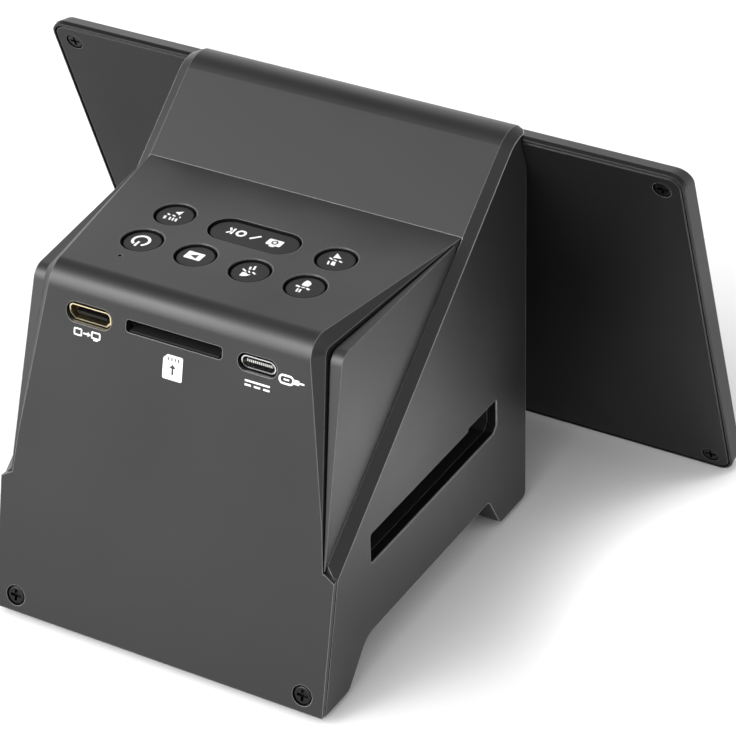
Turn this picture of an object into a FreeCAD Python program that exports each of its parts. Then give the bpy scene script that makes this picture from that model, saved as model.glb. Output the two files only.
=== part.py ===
import FreeCAD, Part
import math
import os

os.makedirs("parts", exist_ok=True)

V = FreeCAD.Vector

# ------------------------------------------------------------------ dimensions
# millimetres; x across, y from the user (display, low y) to the socket side,
# z up from the underside of the body feet.  Everything is shifted at export so
# that the bounding box stands centred on the origin, rubber pads at z = 0.

PAD_H = 1.5                 # rubber pads under the body

HALF_W = 45.1               # side faces of the A-shaped body
FLAT_W = 42.4               # edge bevel of the body starts here
WALL = 2.25                 # front wall and roof
FRONT_Y = -1.05             # front face between the bevels
SLOPE_Y, SLOPE_Z = 26.3, 87.2   # crease between sloping roof and deck
SLOPE = 0.797               # drop of the sloping roof per mm of y
EDGE_Y, EDGE_Z = 11.4, 97.7     # a point of the sloping edge on the side face
EDGE_SLOPE = 0.8217
CREST_R, CREST_Y = 8.5, 2.41    # rounded crest of the hood, y of its centre
LIP_Y = -0.9                # front edge of the hood above the display
FOOT_R = 1.6
SEAM_W = 0.45               # shadow gap at the rear cover's side edge
REAR_Y0 = 99.03             # rear face at z = 0
REAR_LEAN = 0.22393         # rear face leans forward, mm of y per mm of z
FLANGE_T = 1.07             # visible edge of the rear cover on the side faces
COVER_T = 2.0               # wall of the rear cover
COVER_Z0 = 0.4              # its lower edge

ARCH_F0, ARCH_F1 = 13.3, 19.0   # front foot, back face
ARCH_R1, ARCH_R0 = 76.9, 86.8   # rear foot, front face
ARCH_Z = 9.9

SLOT_Y0, SLOT_Y1 = 15.0, 75.2   # film tunnel
SLOT_Z0, SLOT_Z1 = 28.4, 36.4
NOTCH_Y, NOTCH_Z = 29.0, 37.3

DECK_Z = 87.2
SEAM_Y = 26.2
POD_R = 6.0                 # rounding from deck to rear face
CORNER_R, CORNER_K = 4.5, 1.8   # rounding where the two edge bevels meet, and
                                # its growth per mm towards the deck
STEP_Z = 35.0               # top of the full-width part of the rear cover
STEP_FALL = 1.6             # its fall over the edge bevel
POD_A = (42.2, 26.1, 87.35)
POD_V = (36.8, 77.6, 84.8)
POD_B = (42.1, 90.3, 35.3)
POD_IN_DECK = (34.0, 78.2, 87.2)
POD_IN_HI = (34.4, 80.38, 83.3)
POD_IN_LO = (41.2, 89.4, 43.0)
FAC_A = (42.4, 26.6, 87.0)
FAC_V = (40.6, 76.9, 83.7)
FAC_B = (42.45, 90.75, 36.1)
GAP_A = (42.36, 26.1, 87.35)
GAP_V = (37.25, 77.6, 84.8)
GAP_B = (42.36, 90.3, 35.3)

DISP_TOP_Y, DISP_TOP_Z = 2.72, 101.83   # top edge of the display, rear plane
DISP_TILT = 70.06           # degrees from lying flat
DISP_X = 0.4                # the display stands this much off the body's middle
DISP_HALF_W = 86.3
DISP_H = 109.47
DISP_T = 6.5
DISP_RIM = 4.9              # edge of the display, square to its back
DISP_EDGE = 1.4             # from here on the top edge falls to the front
DISP_FALL = 2.15
DISP_R = 3.9

OPT_Y = 45.1                # optical axis, x = 0

BTN_R = 4.5                 # button caps
BTN_HOLE_R = 5.0
BTN_FLANGE_R = 5.6
BTN_TOP = 86.7
BTN_TRAVEL = 0.5
ROUND_BUTTONS = {
    "button_rotate": (21.6, 47.3),
    "button_mirror": (-21.6, 47.3),
    "button_power": (21.9, 60.5),
    "button_play": (7.5, 60.5),
    "button_size": (-7.0, 60.5),
    "button_colour": (-21.4, 60.5),
}
PILL_Y = 47.3
PILL_HALF = 6.9            # half distance between the end centres
LED_POS = (22.6, 68.6)

VIDEO_X, USB_X, CARD_X = 23.1, -21.4, 0.45
VIDEO_Z, USB_Z = 77.9, 78.15    # middle of the two socket shells
BOARD_Z = 76.8              # top face of the main board

# --------------------------------------------------------------------- helpers


def box(x0, x1, y0, y1, z0, z1):
    return Part.makeBox(x1 - x0, y1 - y0, z1 - z0, V(x0, y0, z0))


def rod(x, y, z0, z1, r):
    return Part.makeCylinder(r, z1 - z0, V(x, y, z0), V(0, 0, 1))


def rounded_wire(pts, radii, place):
    """Closed outline through pts with the given corner radii."""
    n = len(pts)
    corners = []
    for i in range(n):
        p0, p1, p2 = pts[i - 1], pts[i], pts[(i + 1) % n]
        r = radii[i]
        if r <= 0:
            corners.append((p1, None, p1))
            continue
        ax, ay = p0[0] - p1[0], p0[1] - p1[1]
        bx, by = p2[0] - p1[0], p2[1] - p1[1]
        la, lb = math.hypot(ax, ay), math.hypot(bx, by)
        ax, ay, bx, by = ax / la, ay / la, bx / lb, by / lb
        ang = math.acos(max(-1.0, min(1.0, ax * bx + ay * by)))
        t = r / math.tan(ang / 2)
        mx, my = ax + bx, ay + by
        lm = math.hypot(mx, my)
        mx, my = mx / lm, my / lm
        h = r / math.sin(ang / 2)
        corners.append(((p1[0] + ax * t, p1[1] + ay * t),
                        (p1[0] + mx * (h - r), p1[1] + my * (h - r)),
                        (p1[0] + bx * t, p1[1] + by * t)))
    edges = []
    for i in range(n):
        s, m, e = corners[i]
        if m is not None:
            edges.append(Part.Arc(place(*s), place(*m), place(*e)).toShape())
        q = corners[(i + 1) % n][0]
        if math.hypot(q[0] - e[0], q[1] - e[1]) > 1e-6:
            edges.append(Part.makeLine(place(*e), place(*q)))
    return Part.Wire(edges)


def at_x(x):
    return lambda a, b: V(x, a, b)


def at_z(z):
    return lambda a, b: V(a, b, z)


def prism_x(pts, x0, x1, radii=None):
    w = rounded_wire(pts, radii or [0] * len(pts), at_x(x0))
    return Part.Face(w).extrude(V(x1 - x0, 0, 0))


def prism_z(pts, z0, z1, radii=None):
    w = rounded_wire(pts, radii or [0] * len(pts), at_z(z0))
    return Part.Face(w).extrude(V(0, 0, z1 - z0))


def rect(hx, y0, y1, cx=0.0):
    return [(cx - hx, y0), (cx + hx, y0), (cx + hx, y1), (cx - hx, y1)]


BIG = 500.0


def side_of(normal, point):
    """Big block on the inner side of a plane with outward normal."""
    n = V(*normal)
    n.normalize()
    b = Part.makeBox(BIG, BIG, BIG, V(-BIG / 2, -BIG / 2, -BIG))
    b.Placement = FreeCAD.Placement(V(*point), FreeCAD.Rotation(V(0, 0, 1), n))
    return b


def normal_of(a, b, c, outward):
    a, b, c = V(*a), V(*b), V(*c)
    n = (b - a).cross(c - a)
    n.normalize()
    if n.dot(V(*outward)) < 0:
        n = n * -1
    return (n.x, n.y, n.z)


def moved(p, n, d):
    """Point p moved by d along the unit vector n."""
    return (p[0] + n[0] * d, p[1] + n[1] * d, p[2] + n[2] * d)


def flip(p):
    return (-p[0], p[1], p[2])


def fuse(shapes):
    s = shapes[0]
    if len(shapes) > 1:
        s = s.multiFuse(shapes[1:])
    return s.removeSplitter()


def mirror_x(s):
    return s.mirror(V(0, 0, 0), V(1, 0, 0))


def rear_y(z, depth=0.0):
    """y of the rear face at height z, depth measured square to the face."""
    return REAR_Y0 - REAR_LEAN * z - depth * math.sqrt(1 + REAR_LEAN ** 2)


REAR_N = (0.0, 1 / math.sqrt(1 + REAR_LEAN ** 2),
          REAR_LEAN / math.sqrt(1 + REAR_LEAN ** 2))


def beyond_rear(depth):
    """Everything behind the plane lying depth inside the rear face."""
    p = (0, rear_y(0, depth), 0)
    return side_of((0, -REAR_N[1], -REAR_N[2]), p)


def screw(r_head, h_head, r_shank, length, flat=False):
    """Cross-head screw, head top at z = 0, pointing to -z."""
    if flat:
        head = Part.makeCone(r_shank, r_head, h_head, V(0, 0, -h_head), V(0, 0, 1))
    else:
        head = Part.makeCylinder(r_head, h_head, V(0, 0, -h_head), V(0, 0, 1))
        top = [e for e in head.Edges
               if abs(e.BoundBox.ZMin) < 1e-4 and abs(e.BoundBox.ZMax) < 1e-4]
        head = head.makeFillet(min(0.45 * h_head, 0.5), top)
    shank = Part.makeCylinder(r_shank, length - h_head, V(0, 0, -length), V(0, 0, 1))
    s = head.fuse(shank)
    w, l, d = 0.30 * r_head, 1.25 * r_head, 0.75 * h_head
    cross = fuse([box(-l / 2, l / 2, -w / 2, w / 2, -d, 1),
                  box(-w / 2, w / 2, -l / 2, l / 2, -d, 1)])
    return s.cut(cross).removeSplitter()


def place(s, pos, direction=(0, 0, 1)):
    """Copy of s with +z turned to direction and the origin at pos."""
    c = s.copy()
    c.Placement = FreeCAD.Placement(
        V(*pos), FreeCAD.Rotation(V(0, 0, 1), V(*direction)))
    return c


DISP_PL = FreeCAD.Placement(V(DISP_X, DISP_TOP_Y, DISP_TOP_Z),
                            FreeCAD.Rotation(V(1, 0, 0), DISP_TILT))


def on_display(s):
    """Local x across, y up along the display, z out of the screen."""
    c = s.copy()
    c.Placement = DISP_PL.multiply(c.Placement)
    return c


def disp_point(x, y, z):
    return DISP_PL.multVec(V(x, y, z))


def disp_y(z, depth=0.0):
    """y of the display's back plane at height z, moved out of the screen by depth."""
    k = math.tan(math.radians(90 - DISP_TILT))
    return DISP_TOP_Y - (DISP_TOP_Z - z) * k - depth / math.cos(math.radians(90 - DISP_TILT))


parts = {}

# -------------------------------------------------------------- main housing


def slope_z(y, drop=0.0):
    return SLOPE_Z + SLOPE * (SLOPE_Y - y) - drop * math.sqrt(1 + SLOPE ** 2)


def edge_z(y):
    return EDGE_Z - EDGE_SLOPE * (y - EDGE_Y)


def meet_rear(z_of_y):
    y = 90.0
    for _ in range(60):
        y = rear_y(z_of_y(y))
    return (y, z_of_y(y))


def body_outline():
    c0 = meet_rear(slope_z)
    c1 = meet_rear(edge_z)
    y0 = CREST_Y - CREST_R
    mid = [(FRONT_Y, 0), (FRONT_Y, 91.0), (y0, 91.0), (y0, slope_z(y0)), c0, (REAR_Y0, 0)]
    side = [(0, 0), (0, 93.85), (y0, 93.85), (y0, edge_z(y0)), c1, (REAR_Y0, 0)]
    return mid, side


mid, side = body_outline()
rad = [FOOT_R, 0, 0, CREST_R, 0, 0]
core = Part.Face(rounded_wire(mid, rad, at_x(-FLAT_W))).extrude(V(2 * FLAT_W, 0, 0))
flank_r = Part.makeLoft([rounded_wire(mid, rad, at_x(FLAT_W)),
                         rounded_wire(side, rad, at_x(HALF_W))], True, True)
flank_l = Part.makeLoft([rounded_wire(side, rad, at_x(-HALF_W)),
                         rounded_wire(mid, rad, at_x(-FLAT_W))], True, True)
body = fuse([core, flank_r, flank_l])
body = body.cut(beyond_rear(FLANGE_T))
for lo, hi in ((-60, -HALF_W + 1.1), (HALF_W - 1.1, 60)):
    body = body.cut(beyond_rear(FLANGE_T + SEAM_W).common(
        box(lo, hi, 60, 140, -5, STEP_Z - STEP_FALL + 0.2)))

# room inside
inner_front = FRONT_Y + WALL
roof = lambda y: slope_z(y, WALL)
cavity_pts = [
    (inner_front, 2.0), (12.15, 2.0), (17.85, 11.9), (ARCH_F1, 11.9),
    (ARCH_F1, 5.0), (ARCH_R1, 5.0), (ARCH_R1, 11.9), (78.7, 11.9), (88.6, 2.0),
    (120.0, 2.0), (120.0, 120.0), (SEAM_Y, 120.0), (SEAM_Y, roof(SEAM_Y)),
    (5.0, roof(5.0)), (5.0, 98.5), (inner_front, 88.0)]
cavity = prism_x(cavity_pts, -FLAT_W, FLAT_W)
rear_mid = beyond_rear(COVER_T).common(box(-FLAT_W, FLAT_W, 60, 140, -20, 60))
body = body.cut(cavity.fuse(rear_mid))

# screw blocks, rails and the ledge under the deck
adds = []
for s in (-1, 1):
    lo, hi = sorted((s * 35.8, s * FLAT_W))
    adds.append(box(lo, hi, 20.0, 27.0, 11.9, 24.0))
    adds.append(box(lo, hi, 69.0, 75.9, 11.9, 24.0))
    adds.append(box(lo, hi, 82.0, 97.2, 1.0, 9.4))
    lo, hi = sorted((s * 40.4, s * FLAT_W))
    adds.append(box(lo, hi, 30.0, 62.0, 24.8, 26.6))
adds.append(prism_x([(21.5, roof(21.5) - 2.0), (21.5, roof(21.5) + 0.5),
                     (SEAM_Y, roof(SEAM_Y) + 0.5), (SEAM_Y, 85.2), (29.5, 85.2),
                     (29.5, 83.7), (24.5, 83.7)], -38.5, 38.5))
adds = [a.cut(beyond_rear(COVER_T)) for a in adds]
body = fuse([body] + adds)

# arch under the body
arch = prism_x([(ARCH_F0 - 6, -2), (ARCH_F0 - 6, 0), (ARCH_F0, 0), (ARCH_F1, ARCH_Z),
                (ARCH_R1 + 1.2, ARCH_Z), (ARCH_R0, 0), (ARCH_R0 + 6, 0),
                (ARCH_R0 + 6, -2)], -60, 60, [0, 0, 1.8, 2.5, 7.0, 2.6, 0, 0])
body = body.cut(arch)
body = body.cut(box(-FLAT_W, FLAT_W, ARCH_F1, ARCH_R1, 5.0, 11.9))


# film tunnel opening with a lead-in bevel on both sides
def slot_pts(g):
    return [(SLOT_Y0 - g, SLOT_Z0 + 1.6), (SLOT_Y0 + 1.6, SLOT_Z0 - g),
            (SLOT_Y1 + g, SLOT_Z0 - g), (SLOT_Y1 + g, SLOT_Z1 + g),
            (NOTCH_Y + g, SLOT_Z1 + g), (NOTCH_Y + g, NOTCH_Z + g),
            (SLOT_Y0 - g, NOTCH_Z + g)]


slot_rad = [0.6, 0.6, 1.0, 1.0, 0.25, 0.5, 1.0]
body = body.cut(prism_x(slot_pts(0), -60, 60, slot_rad))
for s in (-1, 1):
    ws = sorted([(s * (HALF_W + 0.02), 0.22), (s * (HALF_W - 0.20), 0.0)])
    body = body.cut(Part.makeLoft(
        [rounded_wire(slot_pts(g), slot_rad, at_x(x)) for x, g in ws], True, True))

# seat of the display in the hood
SEAT_Z = 102.5
seat = prism_x([(disp_y(SEAT_Z, -0.2), SEAT_Z), (disp_y(-3.0, -0.2), -3.0), (-60, -3.0),
                (-60, SEAT_Z)], -60, 60)
body = body.cut(seat).cut(box(-60, 60, -60, LIP_Y, 101.0, 125.0))

# opening for the display cable, screw bores
body = body.cut(box(-11.5, 11.5, -5, 3, 76.0, 85.0))
NECK_SCREWS = [(-19.5, 65.5), (19.5, 65.5), (-19.5, 74.5), (19.5, 74.5)]
for x, z in NECK_SCREWS:
    body = body.cut(Part.makeCylinder(1.25, 12, V(x, -6, z), V(0, 1, 0)))
BASE_SCREWS = [(-38.9, 23.4), (38.9, 23.4), (-38.9, 72.5), (38.9, 72.5)]
for x, y in BASE_SCREWS:
    body = body.cut(rod(x, y, 8, 21.0, 1.1))
REAR_SCREWS = [(-39.5, 4.5), (39.5, 4.5)]
for x, z in REAR_SCREWS:
    p = (x, rear_y(z), z)
    n = V(*REAR_N)
    body = body.cut(Part.makeCylinder(1.25, 10.2, V(*p), n * -1))
parts["main_housing"] = body

# ---------------------------------------------------------------- base cover
base = prism_z(rect(FLAT_W - 0.1, ARCH_F1 + 0.1, ARCH_R1 - 0.1), ARCH_Z, 11.9)
for x in (-26, 26):
    for y in (OPT_Y - 21, OPT_Y + 21):
        base = base.fuse(rod(x, y, 11.9, 13.0, 2.4))
for x, y in BASE_SCREWS:
    base = base.cut(rod(x, y, 8, 13, 1.45))
    base = base.cut(Part.makeCone(2.55, 1.45, 1.15, V(x, y, ARCH_Z), V(0, 0, 1)))
for x in (-12, -4, 4, 12):
    base = base.cut(prism_z(rect(1.0, 30, 60, x), 9, 12.5, [0.99] * 4))
parts["base_cover"] = base.removeSplitter()

s = screw(2.4, 1.05, 1.1, 10.5, flat=True)
parts["base_screws"] = Part.makeCompound(
    [place(s, (x, y, ARCH_Z + 0.05), (0, 0, -1)) for x, y in BASE_SCREWS])

pads = []
for x in (-34, 34):
    for y, d in ((6.2, 4.0), (91.8, 3.6)):
        p = prism_z(rect(7.0, y - d, y + d, x), -PAD_H, 0, [2.5] * 4)
        e = [k for k in p.Edges if k.BoundBox.ZMax < -PAD_H + 1e-3]
        pads.append(p.makeChamfer(0.35, e))
parts["rubber_feet"] = Part.makeCompound(pads)

# ---------------------------------------------------------------- rear cover


def wedge(n1, n2, p, r, inset=0.0):
    """Block on the inner side of two planes through p, their edge rounded by r."""
    n1, n2, p = V(*n1), V(*n2), V(*p)
    c = n1.dot(n2)
    p = p - (n1 + n2) * (inset / (1 + c))
    d = n1.cross(n2)
    d.normalize()
    u1, u2 = d.cross(n1), d.cross(n2)
    u1 = u1 * -1 if u1.dot(n2) > 0 else u1
    u2 = u2 * -1 if u2.dot(n1) > 0 else u2
    w = d.cross(u1)
    far = 160.0
    q2 = (far * u2.dot(u1), far * u2.dot(w))
    pts = [(far, 0), (0, 0), q2, (q2[0] + far, q2[1])]
    wire = rounded_wire(pts, [0, r - inset, 0, 0],
                        lambda a, b: p + u1 * a + w * b - d * 200)
    return Part.Face(wire).extrude(d * 400)


def corner_sliver(n1, n2, p, r0, k, s0, s1):
    """Piece between the edge of two planes through p and a rounding that
    widens by k for every mm along the edge, inwards."""
    n1, n2, p = V(*n1), V(*n2), V(*p)
    d = n1.cross(n2)
    d.normalize()
    d = d * -1 if d.x > 0 else d
    u1, u2 = d.cross(n1), d.cross(n2)
    u1 = u1 * -1 if u1.dot(n2) > 0 else u1
    u2 = u2 * -1 if u2.dot(n1) > 0 else u2
    half = math.acos(u1.dot(u2)) / 2
    mid = u1 + u2
    mid.normalize()
    wires = []
    for s in (s0, s1):
        r, q = r0 + k * s, p + d * s
        t1, t2 = q + u1 * (r / math.tan(half)), q + u2 * (r / math.tan(half))
        m = q + mid * (r / math.sin(half) - r)
        a = q + (n1 + n2) * 0.8
        wires.append(Part.Wire([Part.makeLine(t1, a), Part.makeLine(a, t2),
                                Part.Arc(t2, m, t1).toShape()]))
    return Part.makeLoft(wires, True, True)


def pod_solid(inset=0.0):
    """Raised rear part of the case, all faces moved in by inset."""
    z1 = DECK_Z - inset
    y_top = rear_y(z1, inset)
    pts = [(SEAM_Y if inset == 0 else 0.0, z1), (y_top, z1),
           (rear_y(-30, inset), -30), (SEAM_Y if inset == 0 else 0.0, -30)]
    s = prism_x(pts, -60, 60, [0, POD_R - inset, 0, 0])
    n_side = normal_of(POD_A, POD_V, POD_B, (1, 0, 0))
    n_deck = normal_of((POD_A[0] + 0.1, SEAM_Y, DECK_Z), POD_IN_DECK, POD_V, (1, 0, 0))
    n_rear = normal_of(POD_V, POD_IN_HI, POD_IN_LO, (1, 0, 0))
    q = moved(POD_V, n_side, -inset)
    s = s.common(side_of(n_side, q)).common(side_of(flip(n_side), flip(q)))
    if inset > 0:
        edge = wedge(n_deck, n_rear, POD_V, 10.0, inset)
        return s.common(edge).common(mirror_x(edge))
    for n in (n_deck, n_rear):
        s = s.common(side_of(n, POD_V)).common(side_of(flip(n), flip(POD_V)))
    sliver = corner_sliver(n_deck, n_rear, POD_V, CORNER_R, CORNER_K, -2.2, 7.0)
    return s.cut(sliver).cut(mirror_x(sliver))


outer = pod_solid(0.0).common(box(-60, 60, 0, 120, STEP_Z - 0.001, 120))
lower = prism_x([(rear_y(STEP_Z, 6), STEP_Z), (rear_y(STEP_Z), STEP_Z),
                 (rear_y(COVER_Z0), COVER_Z0), (rear_y(COVER_Z0, 6), COVER_Z0)],
                -HALF_W, HALF_W)
hollow_hi = pod_solid(COVER_T).common(box(-60, 60, 0, 120, -20, 120))
hollow_lo = prism_x([(rear_y(STEP_Z, 12), STEP_Z), (rear_y(STEP_Z, COVER_T), STEP_Z),
                     (rear_y(-5, COVER_T), -5), (rear_y(-5, 12), -5)], -60, 60)
cover = outer.cut(hollow_hi)
cover_lo = lower.cut(hollow_lo)
flange_cut = prism_x([(rear_y(60, 20), 60), (rear_y(60, FLANGE_T), 60),
                      (rear_y(-5, FLANGE_T), -5), (rear_y(-5, 20), -5)],
                     FLAT_W - 0.08, 60)
cover_lo = cover_lo.cut(flange_cut).cut(mirror_x(flange_cut))
fall = Part.Face(Part.makePolygon([
    V(FLAT_W, 60, STEP_Z), V(FLAT_W + 3 * (HALF_W - FLAT_W), 60, STEP_Z - 3 * STEP_FALL),
    V(FLAT_W + 3 * (HALF_W - FLAT_W), 60, STEP_Z + 9), V(FLAT_W, 60, STEP_Z + 9),
    V(FLAT_W, 60, STEP_Z)])).extrude(V(0, 80, 0))
cover_lo = cover_lo.cut(fall).cut(mirror_x(fall))
# the side walls of the raised part reach 7 mm in
deep = prism_x([(-20, DECK_Z - 7), (rear_y(DECK_Z - 7, 7), DECK_Z - 7),
                (rear_y(-20, 7), -20), (-20, -20)], -60, 60)
cover = cover.cut(deep).common(box(-FLAT_W + 0.05, FLAT_W - 0.05, 0, 120, 0, 120))
posts = []
MAIN_POSTS = [(-31.2, 35.5), (31.2, 35.5), (-31.2, 68.5), (31.2, 68.5)]
KEY_POSTS = [(-27.0, 53.8), (27.0, 53.8), (0.0, 69.3)]
for x, y in MAIN_POSTS:
    posts.append(rod(x, y, BOARD_Z, DECK_Z - 1.0, 2.2))
for x, y in KEY_POSTS:
    posts.append(rod(x, y, 81.7, DECK_Z - 1.0, 1.8))
cover = fuse([cover, cover_lo] + posts)
for x, y in MAIN_POSTS:
    cover = cover.cut(rod(x, y, BOARD_Z - 1, 83.6, 0.9))
for x, y in KEY_POSTS:
    cover = cover.cut(rod(x, y, 80.7, 84.9, 0.9))
# button openings
for x, y in ROUND_BUTTONS.values():
    cover = cover.cut(rod(x, y, 80, 90, BTN_HOLE_R))
    cover = cover.cut(Part.makeCone(BTN_HOLE_R, BTN_HOLE_R + 0.2, 0.2,
                                    V(x, y, DECK_Z - 0.2), V(0, 0, 1)))
pill_hole = prism_z(rect(PILL_HALF + BTN_HOLE_R, PILL_Y - BTN_HOLE_R,
                         PILL_Y + BTN_HOLE_R), 80, 90, [BTN_HOLE_R - 0.01] * 4)
cover = cover.cut(pill_hole)
cover = cover.cut(rod(LED_POS[0], LED_POS[1], 80, 90, 0.5))


# sockets in the rear face
def stadium(cx, cz, hw, hh, y0, y1, r=None):
    r = (hh - 0.01) if r is None else r
    w = rounded_wire([(cx - hw, cz - hh), (cx + hw, cz - hh),
                      (cx + hw, cz + hh), (cx - hw, cz + hh)], [r] * 4,
                     lambda a, b: V(a, y0, b))
    return Part.Face(w).extrude(V(0, y1 - y0, 0))


cover = cover.cut(stadium(VIDEO_X, VIDEO_Z + 0.2, 6.15, 2.45, 74, 90))
cover = cover.cut(stadium(USB_X, USB_Z + 0.1, 5.1, 2.1, 74, 90))
cover = cover.cut(stadium(CARD_X, 78.5, 12.7, 1.5, 74, 90, 0.9))
for x, z in REAR_SCREWS:
    p = V(x, rear_y(z), z)
    n = V(*REAR_N)
    cover = cover.cut(Part.makeCylinder(1.5, 12, p + n * 2, n * -1))
    cover = cover.cut(Part.makeCylinder(2.6, 3.2, p + n * 2, n * -1))
parts["rear_cover"] = cover

s = screw(2.3, 1.1, 1.25, 9.8)
scr = []
for x, z in REAR_SCREWS:
    p = V(x, rear_y(z), z) - V(*REAR_N) * 0.1
    scr.append(place(s, (p.x, p.y, p.z), REAR_N))
parts["rear_cover_screws"] = Part.makeCompound(scr)


# ------------------------------------------------------------- facet panels
def facet_solid(inset=0.0):
    """Block whose side, top and rear faces carry the facet panel."""
    n_side = normal_of(FAC_A, FAC_V, FAC_B, (1, 0, 0))
    top_k = (FAC_A[2] - FAC_V[2]) / (FAC_V[1] - FAC_A[1])
    rear_k = (FAC_B[1] - FAC_V[1]) / (FAC_V[2] - FAC_B[2])
    tz = lambda y: FAC_A[2] - top_k * (y - FAC_A[1]) - inset * math.sqrt(1 + top_k ** 2)
    ry = lambda z: FAC_B[1] + rear_k * (FAC_B[2] - z) - inset * math.sqrt(1 + rear_k ** 2)
    y = FAC_V[1]
    for _ in range(60):
        y = ry(tz(y))
    pts = [(10.0, tz(10.0)), (y, tz(y)), (ry(0.0), 0.0), (10.0, 0.0)]
    s = prism_x(pts, 20, 60, [0, 3.6 - inset, 0, 0])
    return s.common(side_of(n_side, moved(FAC_V, n_side, -inset)))


plate = facet_solid(0.0).cut(facet_solid(1.8))
plate = plate.common(box(20, FLAT_W, 0, 120, 0, 120))
plate = plate.cut(box(20, 60, 0, SEAM_Y + 3.5, 0, 120))
n_gap = normal_of(GAP_A, GAP_V, GAP_B, (1, 0, 0))
shallow = side_of((0, -1, 0), (0, -200, 0)).cut(
    prism_x([(-400, DECK_Z - 8), (rear_y(DECK_Z - 8, 8), DECK_Z - 8),
             (rear_y(-20, 8), -20), (-400, -20)], -200, 200))
plate = plate.cut(side_of(n_gap, GAP_V).common(shallow))
foot = prism_x([(-20, slope_z(-20, 5.0)), (130, slope_z(130, 5.0)), (130, -90),
                (-20, -90)], 0, 60)
plate = plate.cut(foot)
plate = plate.cut(box(20, 60, 60, 120, -10, STEP_Z + 0.6))
plate = max(plate.Solids, key=lambda k: k.Volume)
parts["facet_panel_right"] = plate
parts["facet_panel_left"] = mirror_x(plate)


# ------------------------------------------------------------------- display
def disp_rect(g, z, r, top=None):
    top = g if top is None else top
    return rounded_wire(rect(DISP_HALF_W - g, -DISP_H + g, -top), [r] * 4, at_z(z))


slab = Part.Face(disp_rect(0, 0, DISP_R)).extrude(V(0, 0, DISP_EDGE))
rear_edges = [e for e in slab.Edges if e.BoundBox.ZMax < 1e-3]
slab = slab.makeFillet(0.3, rear_edges)
rim = Part.makeLoft([disp_rect(0, DISP_EDGE, DISP_R),
                     disp_rect(0, DISP_RIM, DISP_R, DISP_FALL)], True, True)
nose = Part.makeLoft([disp_rect(0, DISP_RIM, DISP_R, DISP_FALL),
                      disp_rect(1.8, DISP_T, DISP_R - 1.8, 5.0)], True, True)
bezel = fuse([slab, rim, nose])
bezel = bezel.cut(prism_z(rect(DISP_HALF_W - 0.55, -DISP_H + 0.55, -0.55), -2, 1.4, [3.4] * 4))
bezel = bezel.cut(prism_z(rect(78.5, -102.0, -8.0), 1.0, 5.0, [0.2] * 4))
bezel = bezel.cut(prism_z(rect(76.0, -98.0, -11.5), 4.0, 8.0, [1.0] * 4))
bezel = bezel.cut(prism_z(rect(80.0, -102.2, -7.5), 5.5, 8.0, [3.0] * 4))
DISP_SCREWS = [(-80.45, -5.4), (80.45, -5.4), (-80.45, -104.9), (80.45, -104.9)]
for x, y in DISP_SCREWS:
    bezel = bezel.cut(rod(x, y, 0, 4.9, 0.9))
parts["display_bezel"] = on_display(bezel)

back = prism_z(rect(DISP_HALF_W - 0.95, -DISP_H + 0.95, -0.95), 0, 1.4, [3.0] * 4)
back = back.makeChamfer(0.25, [e for e in back.Edges if e.BoundBox.ZMax < 1e-3])
for x, y in DISP_SCREWS:
    back = back.cut(rod(x, y, -1, 3, 1.05))
    back = back.cut(rod(x, y, -1, 1.0, 2.3))
back = back.cut(box(-11.5, 11.5, -26.0, -19.5, -1, 3))
parts["display_back_cover"] = on_display(back)

s = screw(2.15, 0.8, 0.9, 4.6)
parts["display_screws"] = Part.makeCompound(
    [on_display(place(s, (x, y, 0.2), (0, 0, -1))) for x, y in DISP_SCREWS])

parts["display_glass"] = on_display(
    prism_z(rect(79.9, -102.1, -7.6), 5.5, 6.4, [2.9] * 4))
parts["lcd_panel"] = on_display(prism_z(rect(78.3, -101.8, -8.2), 4.3, 5.0))
tray = prism_z(rect(78.3, -101.8, -8.2), 2.7, 4.3)
parts["lcd_backlight_unit"] = on_display(tray)
drv = prism_z(rect(38.0, -52.0, -14.0), 1.7, 2.5)
drv = drv.fuse(box(-10.5, 10.5, -18.9, -15.0, 1.5, 1.7).fuse(
    box(-6, 6, -44, -32, 1.5, 1.7)))
drv = drv.fuse(prism_z(rect(8.0, -60, -52), 2.3, 2.5))
parts["display_driver_board"] = on_display(drv.removeSplitter())


# neck between the front wall and the display
neck = prism_x([(FRONT_Y, 62.0), (FRONT_Y, 89.0), (disp_y(89.0), 89.0),
                (disp_y(62.0), 62.0)], -25, 25)
neck = neck.cut(prism_x([(FRONT_Y + 1, 72.0), (FRONT_Y + 1, 87.0), (-40, 87.0),
                         (-40, 72.0)], -14.5, 14.5))
for x, z in NECK_SCREWS:
    neck = neck.cut(Part.makeCylinder(1.5, 30, V(x, -25, z), V(0, 1, 0)))
    neck = neck.cut(Part.makeCylinder(2.7, 30, V(x, FRONT_Y - 2.2 - 30, z), V(0, 1, 0)))
parts["display_neck"] = neck
s = screw(2.35, 1.1, 1.2, 9.5)
parts["neck_screws"] = Part.makeCompound(
    [place(s, (x, FRONT_Y - 3.3, z), (0, -1, 0)) for x, z in NECK_SCREWS])

# ribbon from the display to the main board
p0 = disp_point(0, -21.5, 1.7)
p1 = V(0, 33.0, 78.0)
d = (p1 - p0)
ln = math.hypot(d.y, d.z)
nz = V(0, -d.z / ln, d.y / ln) * 0.15
rib = Part.Face(Part.makePolygon([
    V(-10, p0.y, p0.z) + nz, V(-10, p1.y, p1.z) + nz,
    V(-10, p1.y, p1.z) - nz, V(-10, p0.y, p0.z) - nz,
    V(-10, p0.y, p0.z) + nz])).extrude(V(20, 0, 0))
rib = rib.cut(on_display(box(-90, 90, -110, 5, 1.7, 9)))
rib = rib.cut(box(-20, 20, 32.0, 60, 70, 90))
parts["display_cable"] = rib

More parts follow.
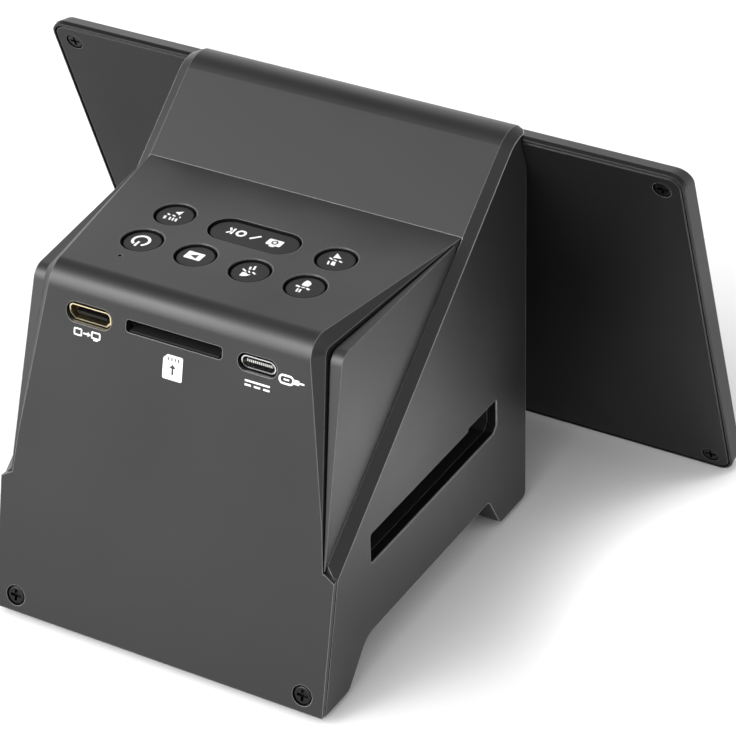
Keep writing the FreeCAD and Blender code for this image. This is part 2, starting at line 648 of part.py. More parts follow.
# ----------------------------------------------------------- film tunnel
LOW_T, UP_T = 1.8, 1.8
x0, x1 = -FLAT_W, FLAT_W
lower_gate = fuse([
    box(x0, x1, SLOT_Y0 - 1.6, SLOT_Y1 + 1.6, SLOT_Z0 - LOW_T, SLOT_Z0),
    box(x0, x1, SLOT_Y0 - 1.6, SLOT_Y0, SLOT_Z0, 33.0),
    box(x0, x1, SLOT_Y1, SLOT_Y1 + 1.6, SLOT_Z0, 33.0),
    prism_x([(SLOT_Y0, SLOT_Z0), (SLOT_Y0 + 1.6, SLOT_Z0), (SLOT_Y0, SLOT_Z0 + 1.6)], x0, x1)])
lower_gate = lower_gate.cut(prism_z(rect(19.5, OPT_Y - 13.5, OPT_Y + 13.5), 20, 30, [1.0] * 4))
parts["film_gate_lower"] = lower_gate
upper_gate = fuse([
    box(x0, x1, NOTCH_Y, SLOT_Y1 + 1.6, SLOT_Z1, SLOT_Z1 + UP_T),
    box(x0, x1, SLOT_Y0 - 1.6, NOTCH_Y, NOTCH_Z, SLOT_Z1 + UP_T + 0.9),
    box(x0, x1, NOTCH_Y, NOTCH_Y + 2, SLOT_Z1, SLOT_Z1 + UP_T + 0.9),
    box(x0, x1, SLOT_Y0 - 1.6, SLOT_Y0, 33.0, NOTCH_Z),
    box(x0, x1, SLOT_Y1, SLOT_Y1 + 1.6, 33.0, SLOT_Z1)])
upper_gate = upper_gate.cut(prism_z(rect(18.5, OPT_Y - 12.5, OPT_Y + 12.5), 30, 42, [1.0] * 4))
parts["film_gate_upper"] = upper_gate

# backlight under the tunnel
GZ = SLOT_Z0 - LOW_T
parts["backlight_diffuser"] = prism_z(rect(29.5, OPT_Y - 23.5, OPT_Y + 23.5), GZ - 1.6, GZ)
refl = prism_z(rect(30.5, OPT_Y - 24.5, OPT_Y + 24.5), 14.6, GZ - 1.6)
refl = refl.cut(Part.makeLoft([
    rounded_wire(rect(24.0, OPT_Y - 18.0, OPT_Y + 18.0), [2.0] * 4, at_z(14.5)),
    rounded_wire(rect(28.7, OPT_Y - 22.7, OPT_Y + 22.7), [2.0] * 4, at_z(GZ - 1.5))],
    True, True))
parts["backlight_reflector"] = refl
led_board = prism_z(rect(31.5, OPT_Y - 25.5, OPT_Y + 25.5), 13.0, 14.6, [1.5] * 4)
for x in (-26, 26):
    for y in (OPT_Y - 21, OPT_Y + 21):
        led_board = led_board.cut(rod(x, y, 12, 15.5, 1.1))
parts["backlight_led_board"] = led_board
leds = []
for i in range(4):
    for j in range(3):
        cx, cy = -15 + 10 * i, OPT_Y - 10 + 10 * j
        chip = box(cx - 1.75, cx + 1.75, cy - 1.4, cy + 1.4, 14.6, 15.5)
        chip = chip.cut(Part.makeCone(0.9, 1.2, 0.3, V(cx, cy, 15.25), V(0, 0, 1)))
        leds.append(chip)
parts["backlight_leds"] = Part.makeCompound(leds)

# ------------------------------------------------------------------- optics
UZ = SLOT_Z1 + UP_T
br = prism_z(rect(26.0, OPT_Y - 18.0, OPT_Y + 18.0), 58.0, 60.0, [3.0] * 4)
legs = []
for x in (-23.5, 23.5):
    for y in (OPT_Y - 15.5, OPT_Y + 15.5):
        z0 = UZ + 0.9 if y < NOTCH_Y + 2 + 2.5 else UZ
        legs.append(box(x - 2.5, x + 2.5, y - 2.5, y + 2.5, z0, 58.0))
br = fuse([br] + legs)
br = br.cut(rod(0, OPT_Y, 50, 70, 7.4))
parts["optics_bracket"] = br
mount = prism_z(rect(13.0, OPT_Y - 13.0, OPT_Y + 13.0), 60.0, 61.8, [2.0] * 4)
mount = mount.fuse(prism_z(rect(8.5, OPT_Y - 8.5, OPT_Y + 8.5), 61.0, 69.6, [1.0] * 4))
mount = mount.cut(rod(0, OPT_Y, 59, 66.5, 6.0))
mount = mount.cut(prism_z(rect(5.2, OPT_Y - 5.2, OPT_Y + 5.2), 66.5, 67.2, [0.3] * 4))
mount = mount.cut(rod(0, OPT_Y, 66, 68.5, 4.2))
mount = mount.cut(prism_z(rect(6.5, OPT_Y - 6.5, OPT_Y + 6.5), 67.8, 70.0, [0.5] * 4))
parts["lens_mount"] = mount.removeSplitter()
barrel = rod(0, OPT_Y, 49.0, 66.0, 6.0)
barrel = barrel.fuse(rod(0, OPT_Y, 48.0, 52.0, 7.0))
barrel = barrel.cut(rod(0, OPT_Y, 40, 70, 3.4))
barrel = barrel.cut(rod(0, OPT_Y, 47, 51.6, 4.8))
barrel = barrel.cut(rod(0, OPT_Y, 62.4, 67, 4.4))
parts["lens_barrel"] = barrel.removeSplitter()


def lens(z0, z1, r, low, high):
    """Round element between z0 and z1 at the rim, domed by low and high."""
    s = rod(0, OPT_Y, z0 - low, z1 + high, r)
    if low > 0:
        q = (r * r + low * low) / (2 * low)
        s = s.common(Part.makeSphere(q, V(0, OPT_Y, z0 - low + q)))
    if high > 0:
        q = (r * r + high * high) / (2 * high)
        s = s.common(Part.makeSphere(q, V(0, OPT_Y, z1 + high - q)))
    return s


parts["lens_front_element"] = lens(50.2, 51.6, 4.8, 0.7, 0.0)
parts["lens_rear_element"] = lens(62.4, 63.6, 4.4, 0.0, 0.6)
parts["ir_filter"] = prism_z(rect(5.1, OPT_Y - 5.1, OPT_Y + 5.1), 66.5, 67.1)
parts["image_sensor"] = prism_z(rect(5.0, OPT_Y - 5.0, OPT_Y + 5.0), 68.5, 69.6)
parts["sensor_board"] = prism_z(rect(17.0, OPT_Y - 14.0, OPT_Y + 14.0), 69.6, 70.8, [1.0] * 4)
flex = fuse([box(-6, 6, 54.0, 66.0, 70.8, 71.1), box(-6, 6, 65.7, 66.0, 70.8, 74.2),
             box(-6, 6, 63.0, 66.0, 74.2, BOARD_Z - 1.6)])
parts["sensor_flex"] = flex

# ------------------------------------------------------- main board, sockets
mb = prism_z([(-33.8, 31.5), (33.8, 31.5), (33.2, 78.6), (-33.2, 78.6)],
             BOARD_Z - 1.6, BOARD_Z, [1.0] * 4)
mb = mb.cut(box(VIDEO_X - 5.75, VIDEO_X + 5.75, 72.35, 90, 70, 80))
mb = mb.cut(box(USB_X - 4.62, USB_X + 4.62, 72.85, 90, 70, 80))
for x, y in MAIN_POSTS:
    mb = mb.cut(rod(x, y, 70, 80, 1.1))
parts["main_board"] = mb
chips = [box(-7, 7, 38, 49, BOARD_Z, BOARD_Z + 1.2),
         box(16, 26, 40, 47, BOARD_Z, BOARD_Z + 1.0),
         box(-26, -17, 40, 52, BOARD_Z, BOARD_Z + 1.1),
         box(18, 27, 54, 64, BOARD_Z, BOARD_Z + 1.6),
         box(-10.5, 10.5, 32.0, 36.0, BOARD_Z, BOARD_Z + 2.0),
         box(-27, -18, 58, 66, BOARD_Z, BOARD_Z + 1.8)]
parts["main_board_chips"] = Part.makeCompound(chips)

MOUTH_Y = 80.95
ush_o = stadium(USB_X, USB_Z, 4.47, 1.63, 73.0, MOUTH_Y)
ush = ush_o.cut(stadium(USB_X, USB_Z, 4.17, 1.33, 73.3, MOUTH_Y + 1))
parts["usb_socket_shell"] = ush
tongue = box(USB_X - 3.3, USB_X + 3.3, 73.3, 80.4, USB_Z - 0.35, USB_Z + 0.35)
parts["usb_socket_tongue"] = tongue


def video_outline(g, y):
    cz = VIDEO_Z
    hw, hh = 5.6 - g, 2.0 - g
    pts = [(VIDEO_X - hw + 1.2, cz - hh), (VIDEO_X + hw - 1.2, cz - hh),
           (VIDEO_X + hw, cz - hh + 1.2), (VIDEO_X + hw, cz + hh),
           (VIDEO_X - hw, cz + hh), (VIDEO_X - hw, cz - hh + 1.2)]
    return rounded_wire(pts, [0.4, 0.4, 0.4, 1.3 - g, 1.3 - g, 0.4],
                        lambda a, b: V(a, y, b))


vsh = Part.Face(video_outline(0, 72.5)).extrude(V(0, MOUTH_Y - 72.5, 0))
vsh = vsh.cut(Part.Face(video_outline(0.3, 72.8)).extrude(V(0, 12, 0)))
parts["video_socket_shell"] = vsh
parts["video_socket_tongue"] = box(VIDEO_X - 4.1, VIDEO_X + 4.1, 72.8, 80.3,
                                   VIDEO_Z - 0.75, VIDEO_Z - 0.05)

cs = box(CARD_X - 14.2, CARD_X + 14.2, 51.0, 78.9, BOARD_Z + 0.0, BOARD_Z + 3.1)
cs_in = box(CARD_X - 13.9, CARD_X + 13.9, 50.0, 80, BOARD_Z - 0.5, BOARD_Z + 2.8)
parts["card_socket_shell"] = cs.cut(cs_in)
cb = box(CARD_X - 13.9, CARD_X + 13.9, 51.3, 78.9, BOARD_Z, BOARD_Z + 2.8)
cb = cb.cut(box(CARD_X - 12.2, CARD_X + 12.2, 54.0, 82, BOARD_Z + 0.6, BOARD_Z + 2.81))
cb = cb.fuse(box(CARD_X - 11.75, CARD_X + 11.75, 78.0, 81.3, BOARD_Z + 0.25, BOARD_Z + 0.6))
cb = cb.removeSplitter()
parts["card_socket_base"] = cb

# ------------------------------------------------------ keys and their board
KB_Z0, KB_Z1 = 80.5, 81.7
kb = prism_z(rect(29.2, 39.5, 71.6), KB_Z0, KB_Z1, [1.0] * 4)
for s in (-1, 1):
    lo, hi = sorted((s * 27.6, s * 40))
    kb = kb.cut(box(lo, hi, 64.5, 80, 79, 83))
for x, y in KEY_POSTS:
    kb = kb.cut(rod(x, y, 79, 83, 1.1))
parts["button_board"] = kb

SW_TOP = 83.0
KEYS = dict(ROUND_BUTTONS)
KEYS["button_ok"] = (0.0, PILL_Y)
switches = []
for name, (x, y) in KEYS.items():
    sw = prism_z(rect(2.6, y - 2.6, y + 2.6, x), KB_Z1, SW_TOP, [0.5] * 4)
    switches.append(sw.cut(rod(x, y, KB_Z1 - 0.5, SW_TOP + 1, 1.2)))
    parts["plunger_" + name.split("_", 1)[1]] = rod(x, y, 82.4, 83.5, 1.0)
parts["tact_switches"] = Part.makeCompound(switches)

STEM_Z, FLANGE_Z0, FLANGE_Z1 = 83.5, 83.9, 84.9


def cap_edges(c):
    return [e for e in c.Edges if e.BoundBox.ZMin > BTN_TOP - 1e-3]


for name, (x, y) in ROUND_BUTTONS.items():
    cap = rod(x, y, FLANGE_Z0 + 0.2, BTN_TOP, BTN_R)
    cap = cap.makeFillet(0.35, cap_edges(cap))
    cap = fuse([cap, rod(x, y, FLANGE_Z0, FLANGE_Z1, BTN_FLANGE_R),
                rod(x, y, STEM_Z, FLANGE_Z0 + 0.1, 1.0)])
    parts[name] = cap
cap = prism_z(rect(PILL_HALF + BTN_R, PILL_Y - BTN_R, PILL_Y + BTN_R),
              FLANGE_Z0 + 0.2, BTN_TOP, [BTN_R - 0.01] * 4)
cap = cap.makeFillet(0.35, cap_edges(cap))
cap = fuse([cap, prism_z(rect(PILL_HALF + BTN_FLANGE_R, PILL_Y - BTN_FLANGE_R,
                              PILL_Y + BTN_FLANGE_R),
                         FLANGE_Z0, FLANGE_Z1, [BTN_FLANGE_R - 0.01] * 4),
            rod(0, PILL_Y, STEM_Z, FLANGE_Z0 + 0.1, 1.0)])
parts["button_ok"] = cap

lx, ly = LED_POS
parts["power_led"] = fuse([box(lx - 1.4, lx + 1.4, ly - 1.2, ly + 1.2, KB_Z1, 84.6),
                           rod(lx, ly, 84.5, DECK_Z - 0.35, 0.42)])

s = screw(1.9, 0.9, 0.85, 6.2)
scr = [place(s, (x, y, BOARD_Z - 1.6 - 0.9), (0, 0, -1)) for x, y in MAIN_POSTS]
s = screw(1.9, 0.9, 0.85, 4.9)
scr += [place(s, (x, y, KB_Z0 - 0.9), (0, 0, -1)) for x, y in KEY_POSTS[:2]]
parts["board_screws"] = Part.makeCompound(scr)

# ------------------------------------------------------------------- export
y_front = min(v.Y for v in parts["display_bezel"].Vertexes)
y_back = max(v.Y for v in parts["rear_cover"].Vertexes)
SHIFT = V(-DISP_X, -(y_front + y_back) / 2, PAD_H)

for name in sorted(parts):
    s = parts[name].copy()
    s.translate(SHIFT)
    s.exportStep("parts/%s.step" % name)
print("parts", len(parts), "shift", SHIFT)
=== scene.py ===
import math

import bmesh
import bpy
from mathutils import Matrix, Vector


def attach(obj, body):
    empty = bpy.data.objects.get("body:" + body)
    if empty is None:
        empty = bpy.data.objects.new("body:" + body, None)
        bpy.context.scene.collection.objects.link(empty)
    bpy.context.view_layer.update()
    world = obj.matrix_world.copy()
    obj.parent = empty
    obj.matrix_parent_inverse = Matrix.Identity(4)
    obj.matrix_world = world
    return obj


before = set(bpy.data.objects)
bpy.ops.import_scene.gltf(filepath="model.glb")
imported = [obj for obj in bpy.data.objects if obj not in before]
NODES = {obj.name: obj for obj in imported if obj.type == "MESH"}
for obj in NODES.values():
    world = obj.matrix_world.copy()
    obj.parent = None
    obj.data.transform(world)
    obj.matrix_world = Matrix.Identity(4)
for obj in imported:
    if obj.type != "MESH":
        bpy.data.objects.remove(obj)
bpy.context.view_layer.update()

MM = 0.001
SHIFT = Vector((-0.4, -29.415382, 1.5))     # mm, drawing frame to model frame


def at(x, y, z):
    """Point of the drawing frame, in mm, as a model point in metres."""
    return (Vector((x, y, z)) + SHIFT) * MM


# ------------------------------------------------------------------- camera
AZ, EL, ROLL = math.radians(210.932), math.radians(33.129), math.radians(-1.767)
F_PX, U0, V0, DIST = 3059.754, 255.792, 378.309, 715.835
back = Vector((math.sin(AZ) * math.cos(EL), -math.cos(AZ) * math.cos(EL), math.sin(EL)))
right = Vector((math.cos(AZ), math.sin(AZ), 0.0))
up = back.cross(right)
cr, sr = math.cos(ROLL), math.sin(ROLL)
cam_r = right * cr + up * sr
cam_u = up * cr - right * sr
ox = (U0 - 368.0) * DIST / F_PX
oy = -(V0 - 368.0) * DIST / F_PX
cam_pos = at(0, 50, 50) + (back * DIST - cam_r * ox - cam_u * oy) * MM
cam_data = bpy.data.cameras.new("camera")
cam = bpy.data.objects.new("camera", cam_data)
bpy.context.scene.collection.objects.link(cam)
m = Matrix((cam_r, cam_u, back)).transposed().to_4x4()
m.translation = cam_pos
cam.matrix_world = m
cam_data.sensor_width = 36.0
cam_data.lens = F_PX / 736.0 * 36.0
cam_data.clip_start, cam_data.clip_end = 0.05, 200.0
bpy.context.scene.camera = cam


# ---------------------------------------------------------------- materials
def new_material(name):
    mat = bpy.data.materials.new(name)
    mat.use_nodes = True
    return mat, mat.node_tree, mat.node_tree.nodes["Principled BSDF"]


def moulded(name, colour, rough=0.48, grain=0.012, grain_scale=2600.0, vary=0.05,
            edge_highlight_tone=0.0, blotch=24.0, spec=0.5, coat=0.0, edge=0.0):
    """Moulded plastic: fine grain, slow roughness and tone changes, edges broken
    by a radius of edge mm; convex edges get a lighter base colour, a painted highlight."""
    mat, tree, bsdf = new_material(name)
    n, l = tree.nodes, tree.links
    co = n.new("ShaderNodeTexCoord")
    fine = n.new("ShaderNodeTexNoise")
    fine.inputs["Scale"].default_value = grain_scale
    fine.inputs["Detail"].default_value = 3.0
    fine.inputs["Roughness"].default_value = 0.6
    l.new(co.outputs["Object"], fine.inputs["Vector"])
    slow = n.new("ShaderNodeTexNoise")
    slow.inputs["Scale"].default_value = blotch
    slow.inputs["Detail"].default_value = 4.0
    l.new(co.outputs["Object"], slow.inputs["Vector"])
    bump = n.new("ShaderNodeBump")
    bump.inputs["Distance"].default_value = grain * MM
    bump.inputs["Strength"].default_value = 1.0
    l.new(fine.outputs["Fac"], bump.inputs["Height"])
    l.new(bump.outputs["Normal"], bsdf.inputs["Normal"])
    if edge > 0:
        bevel = n.new("ShaderNodeBevel")
        bevel.samples = 6
        bevel.inputs["Radius"].default_value = edge * MM
        l.new(bevel.outputs["Normal"], bump.inputs["Normal"])
        # mask of convex edges for the painted highlight: the rounded-edge normal turns from the true
        # normal, hollows left out
        geo = n.new("ShaderNodeNewGeometry")
        turn = n.new("ShaderNodeVectorMath")
        turn.operation = "DOT_PRODUCT"
        l.new(bevel.outputs["Normal"], turn.inputs[0])
        l.new(geo.outputs["Normal"], turn.inputs[1])
        edge_bend = n.new("ShaderNodeMapRange")
        edge_bend.inputs["From Min"].default_value = 0.995
        edge_bend.inputs["From Max"].default_value = 0.93
        l.new(turn.outputs["Value"], edge_bend.inputs["Value"])
        ao = n.new("ShaderNodeAmbientOcclusion")
        ao.samples = 6
        ao.inputs["Distance"].default_value = 1.2 * MM
        free = n.new("ShaderNodeMapRange")
        free.inputs["From Min"].default_value = 0.92
        free.inputs["From Max"].default_value = 0.99
        l.new(ao.outputs["AO"], free.inputs["Value"])
        painted_highlight_mask = n.new("ShaderNodeMath")
        painted_highlight_mask.operation = "MULTIPLY"
        l.new(edge_bend.outputs["Result"], painted_highlight_mask.inputs[0])
        l.new(free.outputs["Result"], painted_highlight_mask.inputs[1])
    rr = n.new("ShaderNodeMapRange")
    rr.inputs["From Min"].default_value = 0.3
    rr.inputs["From Max"].default_value = 0.7
    rr.inputs["To Min"].default_value = rough - vary
    rr.inputs["To Max"].default_value = rough + vary
    l.new(slow.outputs["Fac"], rr.inputs["Value"])
    l.new(rr.outputs["Result"], bsdf.inputs["Roughness"])
    ramp = n.new("ShaderNodeValToRGB")
    lo = [c * 0.86 for c in colour]
    hi = [min(1.0, c * 1.14) for c in colour]
    ramp.color_ramp.elements[0].position = 0.3
    ramp.color_ramp.elements[0].color = (*lo, 1)
    ramp.color_ramp.elements[1].position = 0.7
    ramp.color_ramp.elements[1].color = (*hi, 1)
    l.new(fine.outputs["Fac"], ramp.inputs["Fac"])
    last = ramp.outputs["Color"]
    # painted highlight: convex edges mixed towards a light grey base colour
    if edge > 0 and edge_highlight_tone > 0:
        mix = n.new("ShaderNodeMix")
        mix.data_type = "RGBA"
        l.new(painted_highlight_mask.outputs["Value"], mix.inputs["Factor"])
        l.new(last, mix.inputs["A"])
        mix.inputs["B"].default_value = (edge_highlight_tone, edge_highlight_tone, edge_highlight_tone, 1)
        last = mix.outputs["Result"]
    l.new(last, bsdf.inputs["Base Color"])
    bsdf.inputs["Specular IOR Level"].default_value = spec
    if coat:
        bsdf.inputs["Coat Weight"].default_value = coat
        bsdf.inputs["Coat Roughness"].default_value = 0.2
    return mat


def metal(name, colour, rough=0.3, streak=(900.0, 60.0, 900.0)):
    mat, tree, bsdf = new_material(name)
    n, l = tree.nodes, tree.links
    co = n.new("ShaderNodeTexCoord")
    mp = n.new("ShaderNodeMapping")
    mp.inputs["Scale"].default_value = streak
    l.new(co.outputs["Object"], mp.inputs["Vector"])
    no = n.new("ShaderNodeTexNoise")
    no.inputs["Scale"].default_value = 3.0
    no.inputs["Detail"].default_value = 4.0
    l.new(mp.outputs["Vector"], no.inputs["Vector"])
    rr = n.new("ShaderNodeMapRange")
    rr.inputs["To Min"].default_value = rough - 0.08
    rr.inputs["To Max"].default_value = rough + 0.08
    l.new(no.outputs["Fac"], rr.inputs["Value"])
    l.new(rr.outputs["Result"], bsdf.inputs["Roughness"])
    bump = n.new("ShaderNodeBump")
    bump.inputs["Distance"].default_value = 0.004 * MM
    l.new(no.outputs["Fac"], bump.inputs["Height"])
    l.new(bump.outputs["Normal"], bsdf.inputs["Normal"])
    ramp = n.new("ShaderNodeValToRGB")
    ramp.color_ramp.elements[0].color = (*[c * 0.8 for c in colour], 1)
    ramp.color_ramp.elements[1].color = (*colour, 1)
    l.new(no.outputs["Fac"], ramp.inputs["Fac"])
    l.new(ramp.outputs["Color"], bsdf.inputs["Base Color"])
    bsdf.inputs["Metallic"].default_value = 1.0
    return mat


def set_material(node, mat):
    o = NODES[node]
    o.data.materials.clear()
    o.data.materials.append(mat)


# the last grey given to each material lightens its convex edges: a painted highlight
M_CASE = moulded("case_charcoal", (0.005, 0.005, 0.0052), rough=0.36, edge=0.32,
                 edge_highlight_tone=0.4)
M_COVER = moulded("cover_charcoal", (0.0065, 0.0065, 0.0067), rough=0.36, edge=0.28,
                  edge_highlight_tone=0.2)
# facet panels: a lighter charcoal than the case, painted light standing in for the brighter shading on
# the facets
M_FACET_PAINTED_LIGHT = moulded("facet_charcoal_painted_light", (0.014, 0.014, 0.0146), rough=0.38, spec=0.5, edge=0.25,
                  edge_highlight_tone=0.16)
M_DISP = moulded("display_charcoal", (0.0035, 0.0035, 0.0037), rough=0.39, spec=0.24,
                 edge=0.25, edge_highlight_tone=0.12)
M_KEY = moulded("key_black", (0.0075, 0.0075, 0.0078), rough=0.42, grain=0.006,
                grain_scale=4000.0, spec=0.22, edge=0.15)
M_RUBBER = moulded("pad_rubber", (0.02, 0.02, 0.02), rough=0.8, grain=0.03,
                   grain_scale=1500.0)
M_INNER = moulded("inner_black", (0.006, 0.006, 0.006), rough=0.6)
M_WHITE = moulded("white_plastic", (0.8, 0.8, 0.78), rough=0.5, grain=0.006)
M_PCB = moulded("circuit_green", (0.02, 0.12, 0.06), rough=0.35, grain=0.01,
                grain_scale=900.0)
M_CHIP = moulded("chip_black", (0.015, 0.015, 0.017), rough=0.5)
M_FLEX = moulded("flex_amber", (0.35, 0.15, 0.02), rough=0.35)
M_PLUNGER = moulded("plunger_red", (0.3, 0.03, 0.02), rough=0.45)
M_SCREW = metal("screw_black", (0.028, 0.028, 0.03), rough=0.3)
M_STEEL = metal("socket_steel", (0.75, 0.75, 0.76), rough=0.25)
M_GOLD = metal("socket_gold", (0.88, 0.76, 0.50), rough=0.3)
M_TRAY = metal("tray_aluminium", (0.75, 0.76, 0.78), rough=0.35)
M_PRINT = moulded("print_white", (0.82, 0.82, 0.82), rough=0.5, grain=0.004,
                  grain_scale=5000.0)
M_PRINT_DARK = moulded("print_dark", (0.02, 0.02, 0.02), rough=0.5, grain=0.004,
                       grain_scale=5000.0)


def contact_material(name, pitch, colour, plastic=(0.012, 0.012, 0.012)):
    """Socket tongue: black plastic with a row of plated contacts."""
    mat, tree, bsdf = new_material(name)
    n, l = tree.nodes, tree.links
    co = n.new("ShaderNodeTexCoord")
    sep = n.new("ShaderNodeSeparateXYZ")
    l.new(co.outputs["Object"], sep.inputs["Vector"])
    row = n.new("ShaderNodeMath")
    row.operation = "WRAP"
    row.inputs[1].default_value = pitch * MM
    row.inputs[2].default_value = 0.0
    l.new(sep.outputs["X"], row.inputs[0])
    on = n.new("ShaderNodeMath")
    on.operation = "GREATER_THAN"
    on.inputs[1].default_value = pitch * MM * 0.42
    l.new(row.outputs["Value"], on.inputs[0])
    no = n.new("ShaderNodeTexNoise")
    no.inputs["Scale"].default_value = 1800.0
    l.new(co.outputs["Object"], no.inputs["Vector"])
    tone = n.new("ShaderNodeValToRGB")
    tone.color_ramp.elements[0].color = (*[c * 0.75 for c in colour], 1)
    tone.color_ramp.elements[1].color = (*colour, 1)
    l.new(no.outputs["Fac"], tone.inputs["Fac"])
    mix = n.new("ShaderNodeMix")
    mix.data_type = "RGBA"
    l.new(on.outputs["Value"], mix.inputs["Factor"])
    mix.inputs["A"].default_value = (*plastic, 1)
    l.new(tone.outputs["Color"], mix.inputs["B"])
    l.new(mix.outputs["Result"], bsdf.inputs["Base Color"])
    l.new(on.outputs["Value"], bsdf.inputs["Metallic"])
    bsdf.inputs["Roughness"].default_value = 0.3
    return mat


M_TONGUE_V = moulded("tongue_black", (0.006, 0.006, 0.006), rough=0.4, spec=0.25)
M_TONGUE_U = contact_material("tongue_contacts", 0.5, (0.86, 0.85, 0.80))
M_LAMP = moulded("lamp_dark", (0.01, 0.01, 0.01), rough=0.4, spec=0.2)


def led_material():
    mat, tree, bsdf = new_material("led_resin")
    n, l = tree.nodes, tree.links
    co = n.new("ShaderNodeTexCoord")
    no = n.new("ShaderNodeTexNoise")
    no.inputs["Scale"].default_value = 1500.0
    l.new(co.outputs["Object"], no.inputs["Vector"])
    ramp = n.new("ShaderNodeValToRGB")
    ramp.color_ramp.elements[0].color = (0.5, 0.45, 0.2, 1)
    ramp.color_ramp.elements[1].color = (0.8, 0.75, 0.45, 1)
    l.new(no.outputs["Fac"], ramp.inputs["Fac"])
    l.new(ramp.outputs["Color"], bsdf.inputs["Base Color"])
    bsdf.inputs["Roughness"].default_value = 0.2
    return mat


M_LED = led_material()


def glass_front_material():
    """Display front: glossy black glass with a slight random change of tone and roughness."""
    mat, tree, bsdf = new_material("display_glass_black")
    n, l = tree.nodes, tree.links
    co = n.new("ShaderNodeTexCoord")
    no = n.new("ShaderNodeTexNoise")
    no.inputs["Scale"].default_value = 35.0
    no.inputs["Detail"].default_value = 6.0
    l.new(co.outputs["Object"], no.inputs["Vector"])
    rr = n.new("ShaderNodeMapRange")
    rr.inputs["To Min"].default_value = 0.05
    rr.inputs["To Max"].default_value = 0.11
    l.new(no.outputs["Fac"], rr.inputs["Value"])
    l.new(rr.outputs["Result"], bsdf.inputs["Roughness"])
    ramp = n.new("ShaderNodeValToRGB")
    ramp.color_ramp.elements[0].color = (0.004, 0.004, 0.0045, 1)
    ramp.color_ramp.elements[1].color = (0.006, 0.006, 0.007, 1)
    l.new(no.outputs["Fac"], ramp.inputs["Fac"])
    l.new(ramp.outputs["Color"], bsdf.inputs["Base Color"])
    bsdf.inputs["IOR"].default_value = 1.5
    return mat


def lens_material():
    mat, tree, bsdf = new_material("lens_glass")
    bsdf.inputs["Transmission Weight"].default_value = 1.0
    bsdf.inputs["IOR"].default_value = 1.6
    bsdf.inputs["Base Color"].default_value = (0.9, 0.93, 1.0, 1)
    bsdf.inputs["Roughness"].default_value = 0.02
    bsdf.inputs["Coat Weight"].default_value = 0.5
    bsdf.inputs["Coat Tint"].default_value = (0.6, 0.7, 1.0, 1)
    return mat


M_GLASS = glass_front_material()
M_LENS = lens_material()

USE = {
    M_CASE: ["main_housing", "base_cover", "display_neck"],
    M_COVER: ["rear_cover"],
    M_FACET_PAINTED_LIGHT: ["facet_panel_left", "facet_panel_right"],
    M_DISP: ["display_bezel", "display_back_cover"],
    M_RUBBER: ["rubber_feet"],
    M_SCREW: ["card_socket_shell", "base_screws", "rear_cover_screws", "neck_screws", "display_screws",
              "board_screws"],
    M_GLASS: ["display_glass", "lcd_panel"],
    M_TRAY: ["lcd_backlight_unit"],
    M_PCB: ["display_driver_board", "backlight_led_board", "sensor_board", "main_board",
            "button_board"],
    M_FLEX: ["display_cable", "sensor_flex"],
    M_INNER: ["film_gate_lower", "film_gate_upper", "lens_barrel", "lens_mount",
              "optics_bracket", "card_socket_base"],
    M_WHITE: ["backlight_diffuser", "backlight_reflector"],
    M_LED: ["backlight_leds"],
    M_LAMP: ["power_led"],
    M_LENS: ["lens_front_element", "lens_rear_element", "ir_filter"],
    M_CHIP: ["image_sensor", "main_board_chips", "tact_switches"],
    M_STEEL: ["usb_socket_shell"],
    M_GOLD: ["video_socket_shell"],
    M_TONGUE_U: ["usb_socket_tongue"],
    M_TONGUE_V: ["video_socket_tongue"],
    M_KEY: ["button_power", "button_play", "button_size", "button_colour",
            "button_rotate", "button_mirror", "button_ok"],
    M_PLUNGER: ["plunger_power", "plunger_play", "plunger_size", "plunger_colour",
                "plunger_rotate", "plunger_mirror", "plunger_ok"],
}
for mat, names in USE.items():
    for name in names:
        set_material(name, mat)


